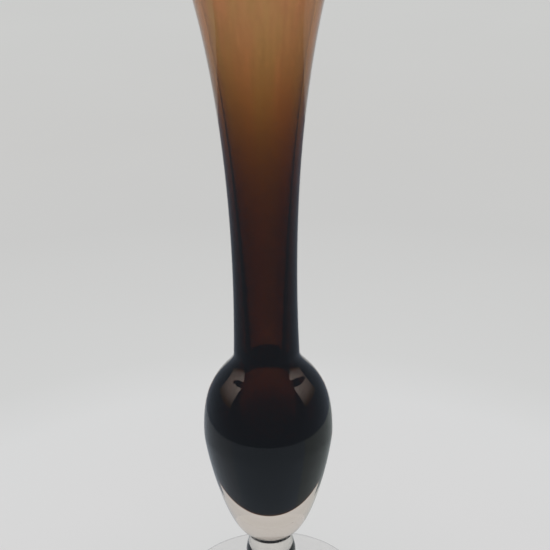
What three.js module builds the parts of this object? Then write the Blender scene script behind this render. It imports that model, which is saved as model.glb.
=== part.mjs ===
// Glass bud vase: a bulb drawn out into a tall trumpet neck, blown as a dark brown bubble inside a
// thick clear casing, and set with a thin wafer of glass on a short clear stem and a disc foot.
// Millimetres, +Z up. The origin is the middle of the foot, on the surface that it stands on.

import * as THREE from 'three';

// Driving dimensions.
const height = 236;
const footRadius = 31;
const bulbRadius = 22.1;
const mouthRadius = 25.5;
const neckRadius = 11.1;         // outside, just above the crease over the bulb

// Heights of the main stations.
const footEdge = 1.5;            // thickness of the foot at its rim
const stemBase = 5;
const stemTop = 22.2;
const bulbBase = 23.6;
const bulbMiddle = 64.9;
const crease = 92.8;
const neckBase = 94.6;

// Walls of the blown part.
const mouthWall = 1.7;
const mouthColour = 0.25;        // thickness of the brown glass at the mouth
const coreRadius = 13.85;        // outside of the brown bubble, in the bulb
const coreNose = 35.9;           // lowest point of the brown bubble
const hollowRadius = 11.4;       // inside of the brown bubble, in the bulb
const hollowNose = 60;
const jointRadius = 7;           // where the bulb, the wafer and the stem meet
const seam = 0.05;               // gap left between two gathers that are welded together

const spinSteps = 36;
const curveSteps = 8;

// Clear outside of the bulb and the neck, from the joint with the wafer up to the lip.
function outsideOutline(path) {
  const lipRound = 0.6;
  path.lineTo(jointRadius, bulbBase);
  path.bezierCurveTo(15.3, 24.4, bulbRadius, 59.1, bulbRadius, bulbMiddle);
  path.bezierCurveTo(bulbRadius, 83.3, 15.9, 85.9, 12.3, 91);
  path.quadraticCurveTo(neckRadius, crease, neckRadius, neckBase);
  path.bezierCurveTo(9.8, 130.4, 10.8, 188.5, mouthRadius, height - lipRound);
  path.lineTo(mouthRadius - lipRound, height);
}

// Surface where the brown bubble and the clear casing are fused, from the nose up to the lip.
function fusedOutline(inset) {
  const mouth = mouthRadius - mouthWall + mouthColour - inset;
  const core = coreRadius - inset;
  const neck = 7.65 - inset;
  const path = new THREE.Path();
  path.moveTo(0, coreNose + inset);
  path.bezierCurveTo(8.5 - inset, coreNose + inset, core, 50, core, 69);
  path.bezierCurveTo(core, 84, neck, 87, neck, 95);
  path.bezierCurveTo(11.1 - inset, 167.5, 11.85 - inset, 195.5, mouth, height);
  return path.getPoints(curveSteps);
}

// Hollow inside the brown bubble, from its nose up through the throat to the lip.
function hollowOutline() {
  const path = new THREE.Path();
  path.moveTo(0, hollowNose);
  path.bezierCurveTo(6, hollowNose, hollowRadius, 64.2, hollowRadius, 72);
  path.bezierCurveTo(hollowRadius, 84, 5.5, 86, 5.5, 95);
  path.bezierCurveTo(6.9, 125, 8.6, 189.5, mouthRadius - mouthWall, height);
  return path.getPoints(curveSteps);
}

// A named solid turned about the Z axis from an outline of (radius, height) points.
function turned(name, outline, colour, roughness) {
  const geometry = new THREE.LatheGeometry(outline, spinSteps);
  geometry.rotateX(Math.PI / 2);
  const material = new THREE.MeshStandardMaterial({ color: colour, roughness, metalness: 0 });
  const mesh = new THREE.Mesh(geometry, material);
  mesh.name = name;
  return mesh;
}

// Thick clear glass gathered over the brown bubble: solid below it, a wall around it above.
function clearCasing() {
  const path = new THREE.Path();
  path.moveTo(0, bulbBase);
  outsideOutline(path);
  const outline = [...path.getPoints(curveSteps), ...fusedOutline(0).reverse()];
  return turned('clear_casing', outline, 0xdcd6cf, 0.03);
}

// The blown brown bubble: solid under its hollow, and thinning from there up to the mouth.
function colourLiner() {
  const outline = [...fusedOutline(seam), ...hollowOutline().reverse()];
  return turned('colour_liner', outline, 0x3a2018, 0.03);
}

// Wafer of glass that joins the bulb to the stem: a thin disc with a rounded edge.
function merese() {
  const bottom = stemTop + seam;
  const top = bulbBase - seam;
  const path = new THREE.Path();
  path.moveTo(0, bottom);
  path.lineTo(jointRadius, bottom);
  path.quadraticCurveTo(jointRadius + 0.5, (bottom + top) / 2, jointRadius, top);
  path.lineTo(0, top);
  return turned('merese', path.getPoints(4), 0xe0dbd4, 0.03);
}

// Short stem: a little wider than the wafer, slightly waisted, then spreading towards the foot.
function stem() {
  const spread = 11;
  const waist = 8.35;
  const path = new THREE.Path();
  path.moveTo(0, stemBase + seam);
  path.lineTo(spread, stemBase + seam);
  path.bezierCurveTo(8.9, 6.2, waist, 8.2, waist, 10.5);
  path.bezierCurveTo(waist, 12.5, 9.1, 14.6, 8.5, 17.2);
  path.lineTo(7.55, 21.3);
  path.quadraticCurveTo(7.4, 22, jointRadius, stemTop);
  path.lineTo(0, stemTop);
  return turned('stem', path.getPoints(5), 0xe0dbd4, 0.03);
}

// Disc foot: a shallow cone above, a round rim, a flat ring to rest on and a hollowed underside.
function foot() {
  const ringOuter = footRadius - 1.5;
  const ringInner = footRadius - 6;
  const hollowed = 1;
  const path = new THREE.Path();
  path.moveTo(0, hollowed);
  path.lineTo(9, hollowed);
  path.quadraticCurveTo(18, hollowed, ringInner, 0);
  path.lineTo(ringOuter, 0);
  path.quadraticCurveTo(footRadius, 0, footRadius, footEdge / 2);
  path.quadraticCurveTo(footRadius, footEdge, ringOuter, footEdge);
  path.bezierCurveTo(22, 1.9, 15, 2.6, 11, stemBase);
  path.lineTo(0, stemBase);
  return turned('foot', path.getPoints(5), 0xe4e0da, 0.03);
}

const budVase = new THREE.Group();
budVase.add(clearCasing(), colourLiner(), merese(), stem(), foot());

export default budVase;
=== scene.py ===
"""A blown glass bud vase: a dark brown bubble inside a thick clear casing, on a clear stem and foot."""

import math

import bmesh
import bpy
from mathutils import Matrix, Vector
from mathutils.geometry import interpolate_bezier


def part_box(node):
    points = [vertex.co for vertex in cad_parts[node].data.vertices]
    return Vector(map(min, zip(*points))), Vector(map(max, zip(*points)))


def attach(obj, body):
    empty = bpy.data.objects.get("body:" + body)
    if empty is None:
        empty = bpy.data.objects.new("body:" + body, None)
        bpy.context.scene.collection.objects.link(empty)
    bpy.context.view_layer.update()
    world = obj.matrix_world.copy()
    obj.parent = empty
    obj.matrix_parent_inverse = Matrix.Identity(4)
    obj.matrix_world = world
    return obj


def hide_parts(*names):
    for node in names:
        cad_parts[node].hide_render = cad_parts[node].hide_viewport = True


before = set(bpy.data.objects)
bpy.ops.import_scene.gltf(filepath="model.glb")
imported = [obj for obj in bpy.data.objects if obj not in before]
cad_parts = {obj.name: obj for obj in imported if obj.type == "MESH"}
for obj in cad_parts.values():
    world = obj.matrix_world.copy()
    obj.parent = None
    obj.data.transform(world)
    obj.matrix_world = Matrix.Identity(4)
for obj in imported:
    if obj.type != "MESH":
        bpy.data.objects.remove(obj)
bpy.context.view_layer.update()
MM = 0.001


# ---------------------------------------------------------------------------------------------
# Clear casing. Clear soda glass gathered thick over the coloured bubble and blown out with it:
# solid under the bubble, a wall around the neck, with a fire-polished lip. The hollow's surface
# belongs to it, and the brown glass lies inside its wall.
# ---------------------------------------------------------------------------------------------

casing_low, casing_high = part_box("clear_casing")
HEIGHT = casing_high.z
MOUTH_RADIUS = casing_high.x
BULB_BASE = casing_low.z
BULB_RADIUS = 22.1 * MM
BULB_MIDDLE = 64.9 * MM
NECK_RADIUS = 11.1 * MM
NECK_BASE = 94.6 * MM
CREASE = 92.8 * MM
JOINT_RADIUS = 7 * MM
MOUTH_WALL = 1.7 * MM
HOLLOW_RADIUS = 11.4 * MM
HOLLOW_MIDDLE = 72 * MM
HOLLOW_NOSE = 60 * MM
THROAT_RADIUS = 5.5 * MM
THROAT = 95 * MM
SPIN_STEPS = 144


def curve(start, leaving, arriving, end, points=40):
    """Points along a Bezier curve from start to end, both of them included."""
    corners = [Vector((radius, 0, height)) for radius, height in (start, leaving, arriving, end)]
    return interpolate_bezier(*corners, points)


def arc(centre, radius, first, last, points=12):
    """Points around a centre, from one angle to another in degrees, counted up from +X."""
    turns = [math.radians(first + (last - first) * i / (points - 1)) for i in range(points)]
    return [
        Vector((centre[0] + radius * math.cos(t), 0, centre[1] + radius * math.sin(t)))
        for t in turns
    ]


def straight(start, end, points=6):
    """Points along a straight line."""
    first, last = Vector((start[0], 0, start[1])), Vector((end[0], 0, end[1]))
    return [first.lerp(last, i / (points - 1)) for i in range(points)]


def joined(*runs):
    """One outline from several runs of points, without the points that two runs share."""
    outline = []
    for point in (point for run in runs for point in run):
        if not outline or (point - outline[-1]).length > 1e-6:
            outline.append(point)
    return outline


def spun(outline, steps=SPIN_STEPS):
    """A closed bmesh: an outline that starts and ends on the Z axis, turned all the way round."""
    bm = bmesh.new()
    verts = [bm.verts.new(point) for point in outline]
    edges = [bm.edges.new(pair) for pair in zip(verts, verts[1:])]
    bmesh.ops.spin(
        bm, geom=verts + edges, cent=(0, 0, 0), axis=(0, 0, 1),
        angle=math.tau, steps=steps, use_merge=True,
    )
    bmesh.ops.remove_doubles(bm, verts=bm.verts, dist=1e-6)
    bmesh.ops.recalc_face_normals(bm, faces=bm.faces)
    return bm


def finished(name, bm, *materials):
    """A smooth object from a bmesh, with its materials."""
    mesh = bpy.data.meshes.new(name)
    bm.to_mesh(mesh)
    bm.free()
    for material in materials:
        mesh.materials.append(material)
    mesh.shade_smooth()
    piece = bpy.data.objects.new(name, mesh)
    bpy.context.scene.collection.objects.link(piece)
    return piece


class Wired:
    """A shader socket that can be reckoned with: each operation adds a Math node."""

    def __init__(self, finish, socket):
        self.finish = finish
        self.socket = socket

    def maths(self, operation, first, second):
        made = self.finish.node("ShaderNodeMath", {"operation": operation}, [first, second])
        return made["Value"]

    def __add__(self, other):
        return self.maths("ADD", self, other)

    def __radd__(self, other):
        return self.maths("ADD", other, self)

    def __sub__(self, other):
        return self.maths("SUBTRACT", self, other)

    def __rsub__(self, other):
        return self.maths("SUBTRACT", other, self)

    def __mul__(self, other):
        return self.maths("MULTIPLY", self, other)

    def __rmul__(self, other):
        return self.maths("MULTIPLY", other, self)


class Finish:
    """A procedural material. node() adds a node and gives back its outputs, ready to reckon with."""

    def __init__(self, name):
        self.material = bpy.data.materials.new(name)
        self.material.use_nodes = True
        self.tree = self.material.node_tree
        self.tree.nodes.clear()

    def node(self, kind, settings=None, inputs=None):
        made = self.tree.nodes.new(kind)
        for name, value in (settings or {}).items():
            if name == "stops":
                ramp = made.color_ramp.elements
                while len(ramp) < len(value):
                    ramp.new(1)
                for stop, (position, colour) in zip(ramp, value):
                    stop.position, stop.color = position, (*colour, 1)
            else:
                setattr(made, name, value)
        pairs = inputs.items() if isinstance(inputs, dict) else enumerate(inputs or [])
        for key, value in pairs:
            if isinstance(value, Wired):
                self.tree.links.new(value.socket, made.inputs[key])
            else:
                made.inputs[key].default_value = value
        return {out.name: Wired(self, out) for out in made.outputs if out.enabled}

    def blend(self, share, first, second):
        """A colour between two colours."""
        return self.node(
            "ShaderNodeMix", {"data_type": "RGBA"}, {0: share, 6: first, 7: second}
        )["Result"]


FOOT_RIM = 30.5 * MM
FOOT_RIM_TOP = 2 * MM


def clear_glass(name, low_tint, high_tint, bottom, top, seed):
    """Clear soda glass with the slow waves and fine upright cords of hand work.

    Its tint follows how thick it is, so it goes from one colour to another between two heights.
    The foot's rounded edge is painted grey: painted shade that draws the thin dark line edging the
    disc.
    """
    glass = Finish(name)
    place = glass.node("ShaderNodeTexCoord")["Object"]
    height = glass.node("ShaderNodeSeparateXYZ", None, [place])["Z"]
    up = glass.node(
        "ShaderNodeMapRange", {"interpolation_type": "SMOOTHSTEP"}, {0: height, 1: bottom, 2: top}
    )["Result"]
    waves = glass.node(
        "ShaderNodeTexNoise", {"noise_dimensions": "4D"},
        {"Vector": place, "W": seed, "Scale": 60, "Detail": 1, "Roughness": 0.4},
    )["Fac"]
    drawn = glass.node(
        "ShaderNodeMapping", None, {"Vector": place, "Scale": (1, 1, 0.06)}
    )["Vector"]
    cords = glass.node(
        "ShaderNodeTexNoise", {"noise_dimensions": "4D"},
        {"Vector": drawn, "W": seed + 4, "Scale": 420, "Detail": 2, "Roughness": 0.5},
    )["Fac"]
    relief = waves * 1.0 + cords * 0.12
    bump = glass.node(
        "ShaderNodeBump", None, {"Strength": 0.25, "Distance": 0.1 * MM, "Height": relief}
    )["Normal"]
    from_axis = glass.node(
        "ShaderNodeVectorMath", {"operation": "DISTANCE"}, [place, (0, 0, 0.75 * MM)]
    )["Value"]
    # Painted shade: a mask for the foot's rounded edge, which is blended to grey to draw the disc's
    # dark outline.
    painted_edge_shade = glass.node(
        "ShaderNodeMapRange", None, {0: from_axis, 1: FOOT_RIM, 2: FOOT_RIM + 0.3 * MM}
    )["Result"]
    low = glass.node(
        "ShaderNodeMath", {"operation": "LESS_THAN"}, [height, FOOT_RIM_TOP]
    )["Value"]
    tint = glass.blend(up, (*low_tint, 1), (*high_tint, 1))
    # The thickness tint, with painted grey shade blended in on the foot's rounded edge.
    colour = glass.blend(painted_edge_shade * low, tint, (0.72, 0.72, 0.73, 1))
    surface = glass.node(
        "ShaderNodeBsdfPrincipled", None,
        {"Base Color": colour, "Roughness": cords * 0.01, "IOR": 1.5,
         "Transmission Weight": 1.0, "Normal": bump},
    )["BSDF"]
    glass.node("ShaderNodeOutputMaterial", None, {"Surface": surface})
    return glass.material


def fused_face():
    """The face where two gathers were welded hot: light crosses it as if it weren't there."""
    weld = Finish("fused_joint")
    place = weld.node("ShaderNodeTexCoord")["Object"]
    mottle = weld.node("ShaderNodeTexNoise", None, {"Vector": place, "Scale": 300})["Fac"]
    colour = weld.blend(mottle, (0.995, 0.99, 0.985, 1), (1, 1, 1, 1))
    surface = weld.node(
        "ShaderNodeBsdfPrincipled", None,
        {"Base Color": colour, "Roughness": 0.0, "IOR": 1.0, "Transmission Weight": 1.0},
    )["BSDF"]
    weld.node("ShaderNodeOutputMaterial", None, {"Surface": surface})
    return weld.material


def weld_faces(bm, height, radius):
    """Gives the flat joint face at a height, out to a radius, the second material."""
    for face in bm.faces:
        middle = face.calc_center_median()
        flat = all(abs(vert.co.z - height) < 1e-6 for vert in face.verts)
        if flat and middle.to_2d().length < radius:
            face.material_index = 1


def trap_bubble(bm, place, radius):
    """A seed: a tiny round bubble of air inside the glass, so its faces look into it."""
    made = bmesh.ops.create_icosphere(
        bm, subdivisions=2, radius=radius, matrix=Matrix.Translation(place)
    )
    faces = {face for vert in made["verts"] for face in vert.link_faces}
    bmesh.ops.reverse_faces(bm, faces=list(faces))


lip = MOUTH_WALL / 2
SHOULDER_TOP = (12.3 * MM, 91 * MM)

# Each seed bubble's place, and its radius, in millimetres.
SEEDS = [
    ((0.9, -19.2, 50.8), 0.12),
    ((-4.7, -18.0, 48.6), 0.1),
    ((3.4, 4.6, 31.0), 0.12),
    ((-7.1, -2.2, 35.5), 0.1),
    ((1.9, -8.4, 29.2), 0.09),
    ((12.6, 9.8, 44.0), 0.12),
    ((-14.9, 8.3, 66.5), 0.11),
    ((6.2, 17.8, 71.0), 0.12),
]

casing_outline = joined(
    straight((0, BULB_BASE), (JOINT_RADIUS, BULB_BASE)),
    curve((JOINT_RADIUS, BULB_BASE), (15.3 * MM, BULB_BASE + 0.8 * MM),
          (BULB_RADIUS, BULB_MIDDLE - 5.8 * MM), (BULB_RADIUS, BULB_MIDDLE), 60),
    curve((BULB_RADIUS, BULB_MIDDLE), (BULB_RADIUS, 83.3 * MM),
          (15.9 * MM, 85.9 * MM), SHOULDER_TOP, 60),
    curve(SHOULDER_TOP, (NECK_RADIUS + 0.4 * MM, CREASE - 0.6 * MM),
          (NECK_RADIUS, CREASE + 0.6 * MM), (NECK_RADIUS, NECK_BASE), 14),
    curve((NECK_RADIUS, NECK_BASE), (9.8 * MM, 130.4 * MM),
          (10.8 * MM, 188.5 * MM), (MOUTH_RADIUS, HEIGHT - lip), 80),
    arc((MOUTH_RADIUS - lip, HEIGHT - lip), lip, 0, 180, 14),
    curve((MOUTH_RADIUS - MOUTH_WALL, HEIGHT - lip), (8.6 * MM, 189.5 * MM),
          (6.9 * MM, 125 * MM), (THROAT_RADIUS, THROAT), 80),
    curve((THROAT_RADIUS, THROAT), (THROAT_RADIUS, 86 * MM),
          (HOLLOW_RADIUS, 84 * MM), (HOLLOW_RADIUS, HOLLOW_MIDDLE), 40),
    curve((HOLLOW_RADIUS, HOLLOW_MIDDLE), (HOLLOW_RADIUS, 64.2 * MM),
          (6 * MM, HOLLOW_NOSE), (0, HOLLOW_NOSE), 40),
)
casing_mesh = spun(casing_outline)
weld_faces(casing_mesh, BULB_BASE, JOINT_RADIUS)
for seed_place, seed_radius in SEEDS:
    trap_bubble(casing_mesh, Vector(seed_place) * MM, seed_radius * MM)
casing = finished(
    "casing_glass", casing_mesh,
    clear_glass(
        "clear_casing_glass", (0.87, 0.79, 0.72), (0.985, 0.98, 0.975),
        bottom=50 * MM, top=CREASE - 0.8 * MM, seed=1,
    ),
    fused_face(),
)
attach(casing, "root")
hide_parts("clear_casing")


# ---------------------------------------------------------------------------------------------
# Colour liner. The brown bubble, blown inside the casing: thick and all but black in the bulb,
# and drawn thinner and paler up the neck. It is fused to the clear glass on both sides, so its
# own surfaces bend no light, and its colour is its depth.
# ---------------------------------------------------------------------------------------------

CORE_RADIUS = 13.85 * MM
CORE_MIDDLE = 69 * MM
CORE_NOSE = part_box("colour_liner")[0].z
CORE_NECK_RADIUS = 7.65 * MM
MOUTH_COLOUR = 0.25 * MM
CLEAR_FILM = 0.08 * MM      # clear glass left between the brown glass and the hollow


def brown_glass():
    """Brown glass that takes up light with depth, a little uneven where it was drawn out."""
    glass = Finish("brown_bubble_glass")
    place = glass.node("ShaderNodeTexCoord")["Object"]
    drawn = glass.node(
        "ShaderNodeMapping", None, {"Vector": place, "Scale": (1, 1, 0.05)}
    )["Vector"]
    bands = glass.node(
        "ShaderNodeTexNoise", None, {"Vector": drawn, "Scale": 160, "Detail": 1},
    )["Fac"]
    streaks = glass.node(
        "ShaderNodeTexNoise", None, {"Vector": drawn, "Scale": 520, "Detail": 2},
    )["Fac"]
    hue = glass.node("ShaderNodeMapRange", None, {0: bands, 1: 0.38, 2: 0.62})["Result"]
    pale = glass.node("ShaderNodeMapRange", None, {0: streaks, 1: 0.4, 2: 0.65})["Result"]
    band = glass.blend(hue, (1, 0.722, 0.62, 1), (0.96, 0.765, 0.61, 1))
    shade = glass.blend(pale, (0.965, 0.96, 0.955, 1), (1, 1, 1, 1))
    colour = glass.node(
        "ShaderNodeMix", {"data_type": "RGBA", "blend_type": "MULTIPLY"}, {0: 1, 6: band, 7: shade}
    )["Result"]
    surface = glass.node(
        "ShaderNodeBsdfPrincipled", None,
        {"Base Color": colour, "Roughness": 0.0, "IOR": 1.0, "Transmission Weight": 1.0},
    )["BSDF"]
    depth = glass.node(
        "ShaderNodeVolumeAbsorption", None, {"Color": (0.756, 0.67, 0.4, 1), "Density": 3000}
    )["Volume"]
    glass.node("ShaderNodeOutputMaterial", None, {"Surface": surface, "Volume": depth})
    return glass.material


liner_top = HEIGHT - 1.1 * MM
liner_outline = joined(
    curve((0, CORE_NOSE), (8.5 * MM, CORE_NOSE), (CORE_RADIUS, 50 * MM),
          (CORE_RADIUS, CORE_MIDDLE), 40),
    curve((CORE_RADIUS, CORE_MIDDLE), (CORE_RADIUS, 84 * MM), (CORE_NECK_RADIUS, 87 * MM),
          (CORE_NECK_RADIUS, THROAT), 40),
    curve((CORE_NECK_RADIUS, THROAT), (11.1 * MM, 167.5 * MM), (11.85 * MM, 195.5 * MM),
          (MOUTH_RADIUS - MOUTH_WALL + MOUTH_COLOUR, liner_top), 80),
    curve((MOUTH_RADIUS - MOUTH_WALL + CLEAR_FILM, liner_top),
          (8.6 * MM + CLEAR_FILM, 189.5 * MM), (6.9 * MM + CLEAR_FILM, 125 * MM),
          (THROAT_RADIUS + CLEAR_FILM, THROAT), 80),
    curve((THROAT_RADIUS + CLEAR_FILM, THROAT), (THROAT_RADIUS + CLEAR_FILM, 86 * MM),
          (HOLLOW_RADIUS + CLEAR_FILM, 84 * MM), (HOLLOW_RADIUS + CLEAR_FILM, HOLLOW_MIDDLE), 40),
    curve((HOLLOW_RADIUS + CLEAR_FILM, HOLLOW_MIDDLE), (HOLLOW_RADIUS + CLEAR_FILM, 64.2 * MM),
          (6 * MM, HOLLOW_NOSE - CLEAR_FILM), (0, HOLLOW_NOSE - CLEAR_FILM), 40),
)
liner = finished("brown_bubble", spun(liner_outline), brown_glass())
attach(liner, "root")
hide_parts("colour_liner")


# ---------------------------------------------------------------------------------------------
# Merese. A small wafer of clear glass dropped between the bulb and the stem while both were
# soft. Its edge squeezed out round.
# ---------------------------------------------------------------------------------------------

STEM_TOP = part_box("stem")[1].z

wafer_middle = (STEM_TOP + BULB_BASE) / 2
wafer_outline = joined(
    straight((0, STEM_TOP), (JOINT_RADIUS, STEM_TOP)),
    curve((JOINT_RADIUS, STEM_TOP), (JOINT_RADIUS + 0.15 * MM, STEM_TOP + 0.46 * MM),
          (JOINT_RADIUS + 0.15 * MM, BULB_BASE - 0.46 * MM), (JOINT_RADIUS, BULB_BASE), 14),
    straight((JOINT_RADIUS, BULB_BASE), (0, BULB_BASE)),
)
wafer_mesh = spun(wafer_outline)
weld_faces(wafer_mesh, STEM_TOP, JOINT_RADIUS)
weld_faces(wafer_mesh, BULB_BASE, JOINT_RADIUS)
clear_foot_glass = clear_glass(
    "clear_foot_glass", (0.99, 0.985, 0.98), (0.9, 0.87, 0.82),
    bottom=2 * MM, top=12 * MM, seed=7,
)
wafer = finished("wafer", wafer_mesh, clear_foot_glass, bpy.data.materials["fused_joint"])
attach(wafer, "root")
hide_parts("merese")


# ---------------------------------------------------------------------------------------------
# Stem. A short bit of clear glass, round-shouldered under the wafer and drawn wider towards
# the foot that it was welded to.
# ---------------------------------------------------------------------------------------------

FOOT_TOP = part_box("foot")[1].z
STEM_SPREAD = 11 * MM
STEM_WAIST = 8.35 * MM

stem_outline = joined(
    straight((0, FOOT_TOP), (STEM_SPREAD, FOOT_TOP)),
    curve((STEM_SPREAD, FOOT_TOP), (8.9 * MM, 6.2 * MM), (STEM_WAIST, 8.2 * MM),
          (STEM_WAIST, 10.5 * MM), 24),
    curve((STEM_WAIST, 10.5 * MM), (STEM_WAIST, 12.5 * MM), (9.1 * MM, 14.6 * MM),
          (8.5 * MM, 17.2 * MM), 24),
    straight((8.5 * MM, 17.2 * MM), (7.55 * MM, 21.3 * MM)),
    curve((7.55 * MM, 21.3 * MM), (7.45 * MM, 21.8 * MM), (7.3 * MM, STEM_TOP),
          (JOINT_RADIUS, STEM_TOP), 10),
    straight((JOINT_RADIUS, STEM_TOP), (0, STEM_TOP)),
)
stem_mesh = spun(stem_outline)
weld_faces(stem_mesh, FOOT_TOP, STEM_SPREAD)
weld_faces(stem_mesh, STEM_TOP, JOINT_RADIUS)
stem = finished("stem_glass", stem_mesh, clear_foot_glass, bpy.data.materials["fused_joint"])
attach(stem, "root")
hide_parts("stem")


# ---------------------------------------------------------------------------------------------
# Foot. A gather of clear glass pressed out to a thin disc: a shallow cone above, a round edge,
# a narrow flat ring to stand on and a shallow hollow under the middle.
# ---------------------------------------------------------------------------------------------

foot_low, foot_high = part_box("foot")
FOOT_RADIUS = foot_high.x
EDGE = 0.75 * MM
RING_INNER = FOOT_RADIUS - 6 * MM
HOLLOWED = 1 * MM

foot_outline = joined(
    straight((0, HOLLOWED), (9 * MM, HOLLOWED)),
    curve((9 * MM, HOLLOWED), (15 * MM, HOLLOWED), (21 * MM, 0.3 * MM), (RING_INNER, 0), 30),
    straight((RING_INNER, 0), (FOOT_RADIUS - EDGE, 0)),
    arc((FOOT_RADIUS - EDGE, EDGE), EDGE, -90, 90, 14),
    curve((FOOT_RADIUS - EDGE, 2 * EDGE), (22 * MM, 1.9 * MM), (15 * MM, 2.6 * MM),
          (STEM_SPREAD, FOOT_TOP), 40),
    straight((STEM_SPREAD, FOOT_TOP), (0, FOOT_TOP)),
)
foot_mesh = spun(foot_outline)
weld_faces(foot_mesh, FOOT_TOP, STEM_SPREAD)
foot = finished("foot_glass", foot_mesh, clear_foot_glass, bpy.data.materials["fused_joint"])
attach(foot, "root")
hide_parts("foot")


# ---------------------------------------------------------------------------------------------
# Studio: a softly glowing pale floor under a pale, even sky, and a soft panel on each side. Grey
# cards and mats round the vase show only in its reflections, and dark mats only through its glass.
# ---------------------------------------------------------------------------------------------

FLOOR_RADIUS = 8
FLOOR_SPAN = 0.8
CARD_RADIUS = 0.186
PANEL_RADIUS = 0.6
BACK_RADIUS = 0.7
SKY = (0.6, 0.6, 0.597)


def floor_paint():
    """A light table: pale grey, with a painted pool of light that is a little brighter round the vase
    than further out, and painted shade that is slightly darker nearest the vase.
    """
    paint = Finish("floor_paint")
    place = paint.node("ShaderNodeTexCoord")["Object"]
    from_middle = paint.node(
        "ShaderNodeVectorMath", {"operation": "DISTANCE"}, [place, (0, -0.027, 0)]
    )["Value"]
    # Painted light and shade: the glow dips slightly nearest the vase, is brightest out to about 0.17
    # m, falls off further out and rises a little again towards 0.8 m.
    glow = paint.node(
        "ShaderNodeValToRGB",
        {"stops": [
            (0.0, (0.525, 0.530, 0.530)), (0.13, (0.545, 0.540, 0.545)),
            (0.21, (0.540, 0.540, 0.545)), (0.26, (0.500, 0.500, 0.500)),
            (0.46, (0.455, 0.452, 0.450)), (0.65, (0.460, 0.455, 0.450)),
            (1.0, (0.475, 0.475, 0.470)),
        ]},
        {"Fac": from_middle * (1 / FLOOR_SPAN)},
    )["Color"]
    mottle = paint.node("ShaderNodeTexNoise", None, {"Vector": place, "Scale": 9})["Fac"]
    colour = paint.blend(mottle, (0.19, 0.195, 0.19, 1), (0.21, 0.215, 0.21, 1))
    surface = paint.node(
        "ShaderNodeBsdfPrincipled", None,
        {"Base Color": colour, "Roughness": 0.9, "Specular IOR Level": 0.0,
         "Emission Color": glow, "Emission Strength": 1.0},
    )["BSDF"]
    paint.node("ShaderNodeOutputMaterial", None, {"Surface": surface})
    return paint.material


floor_mesh = bmesh.new()
bmesh.ops.create_circle(floor_mesh, cap_ends=True, segments=96, radius=FLOOR_RADIUS)
bmesh.ops.translate(floor_mesh, verts=floor_mesh.verts, vec=(0, 0, -0.02 * MM))
floor = finished("studio_floor", floor_mesh, floor_paint())


def glow_paint(name, colour):
    """An even glow, so that a card's shade doesn't depend on the lights."""
    paint = Finish(name)
    glow = paint.node("ShaderNodeEmission", None, {"Color": (*colour, 1)})["Emission"]
    paint.node("ShaderNodeOutputMaterial", None, {"Surface": glow})
    return paint.material


def hidden_card(name, bm, paint):
    """A stage object that shows only in reflections."""
    made = finished(name, bm, paint)
    made.visible_camera = False
    made.visible_diffuse = False
    made.visible_transmission = False
    made.visible_shadow = False


def swept(first, last, start, end):
    """A sheet swept round the Z axis from one bearing to another, in degrees from +Y towards +X.

    The line that sweeps it runs from start to end, each a radius and a height.
    """
    bm = bmesh.new()
    turn = Matrix.Rotation(math.radians(-first), 3, "Z")
    verts = [bm.verts.new(turn @ Vector((0, *place))) for place in (start, end)]
    edge = bm.edges.new(verts)
    bmesh.ops.spin(
        bm, geom=[*verts, edge], cent=(0, 0, 0), axis=(0, 0, 1),
        angle=math.radians(first - last), steps=24,
    )
    return bm


def card(name, radius, first, last, bottom, top, paint):
    """A curved upright card."""
    hidden_card(name, swept(first, last, (radius, bottom), (radius, top)), paint)


def mat(name, first, last, inner, outer, paint):
    """A flat card that lies just over the floor."""
    hidden_card(name, swept(first, last, (inner, 0.01 * MM), (outer, 0.01 * MM)), paint)


grey = glow_paint("grey_card", (0.2, 0.23, 0.28))
card("card_front", CARD_RADIUS, 118, 242, 0, 1.2, grey)
card("card_left", CARD_RADIUS, 242, 335, 0, 0.105, grey)
card("card_right", CARD_RADIUS, 25, 118, 0, 0.105, grey)
card("back_left", BACK_RADIUS, 242, 332, 0, 2.4, grey)
card("back_right", BACK_RADIUS, 28, 118, 0, 2.4, grey)
mat("mat_front", 118, 242, 0.034, CARD_RADIUS, glow_paint("mat_front", (0.36, 0.415, 0.48)))
mat("mat_left", 242, 335, 0.034, CARD_RADIUS, glow_paint("mat_left", (0.4, 0.44, 0.49)))
mat("mat_right", 25, 118, 0.034, CARD_RADIUS, glow_paint("mat_right", (0.41, 0.45, 0.45)))

# Dark mats beside the vase show only through the glass, where they draw its edges as thin lines.
dark = glow_paint("dark_card", (0.05, 0.05, 0.055))
for side, middle in (("left", 270), ("right", 90)):
    mat("dark_mat_" + side, middle - 40, middle + 40, 0.05, 0.6, dark)
    bpy.data.objects["dark_mat_" + side].visible_transmission = True
    bpy.data.objects["dark_mat_" + side].visible_glossy = False


def panel_paint(name, colour, level):
    """A lit cloth that is brighter above than below."""
    paint = Finish(name)
    place = paint.node("ShaderNodeTexCoord")["Object"]
    height = paint.node("ShaderNodeSeparateXYZ", None, [place])["Z"]
    share = paint.node("ShaderNodeMapRange", None, {0: height, 1: 0.2, 2: 0.6})["Result"]
    dim = tuple(0.15 * channel for channel in colour)
    cloth = paint.blend(share, (*dim, 1), (*colour, 1))
    glow = paint.node("ShaderNodeEmission", None, {"Color": cloth, "Strength": level})["Emission"]
    paint.node("ShaderNodeOutputMaterial", None, {"Surface": glow})
    return paint.material


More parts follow.
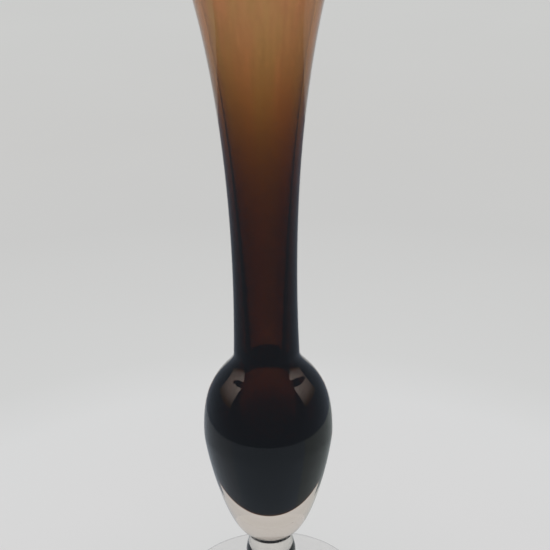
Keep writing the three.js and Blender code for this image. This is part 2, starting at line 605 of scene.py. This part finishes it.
def panel(name, front, back, bottom, front_top, back_top, paint):
    """A soft panel whose top edge slopes down from its front end to its back end."""
    bm = swept(front, back, (PANEL_RADIUS, bottom), (PANEL_RADIUS, bottom + 0.1))
    for vert in bm.verts:
        if vert.co.z > bottom + 0.05:
            bearing = math.degrees(math.atan2(vert.co.x, vert.co.y)) % 360
            share = (bearing - front) / (back - front)
            vert.co.z = front_top + (back_top - front_top) * share
    hidden_card(name, bm, paint)


cloth = panel_paint("soft_panel", (1, 0.83, 0.76), 2.4)
panel("panel_left", 254, 297, 0.17, 0.58, 0.31, cloth)
panel("panel_right", 106, 64, 0.17, 0.58, 0.31, cloth)


def soft_light(name, bearing, height, distance, size, power):
    """A soft rectangular light that faces the middle of the vase and doesn't show in it."""
    data = bpy.data.lights.new(name, "AREA")
    data.shape = "RECTANGLE"
    data.size, data.size_y = size
    data.energy = power
    light = bpy.data.objects.new(name, data)
    a = math.radians(bearing)
    light.location = (distance * math.sin(a), distance * math.cos(a), height)
    aim = Vector((0, 0, 0.1)) - light.location
    light.rotation_euler = aim.to_track_quat("-Z", "Y").to_euler()
    light.visible_camera = False
    light.visible_glossy = False
    bpy.context.scene.collection.objects.link(light)


soft_light("light_left", -90, 0.42, 0.8, (0.75, 0.42), 1)
soft_light("light_right", 90, 0.42, 0.8, (0.75, 0.42), 1)

world = bpy.data.worlds.new("pale_sky")
world.use_nodes = True
world.node_tree.nodes["Background"].inputs["Color"].default_value = (*SKY, 1)
bpy.context.scene.world = world
bpy.context.scene.view_settings.view_transform = "Standard"


# ---------------------------------------------------------------------------------------------
# Camera: a long lens, a little above the vase and a touch to its right, and very slightly
# rolled.
# ---------------------------------------------------------------------------------------------

camera_data = bpy.data.cameras.new("camera")
camera_data.sensor_width = 36
camera_data.lens = 101.5
camera_data.clip_end = 30
camera = bpy.data.objects.new("camera", camera_data)
camera.matrix_world = (
    Matrix.Translation((3.3 * MM, -461.6 * MM, 335.8 * MM))
    @ Matrix.Rotation(math.radians(90 - 24.8), 4, "X")
    @ Matrix.Rotation(math.radians(-1.1), 4, "Z")
)
bpy.context.scene.collection.objects.link(camera)
bpy.context.scene.camera = camera
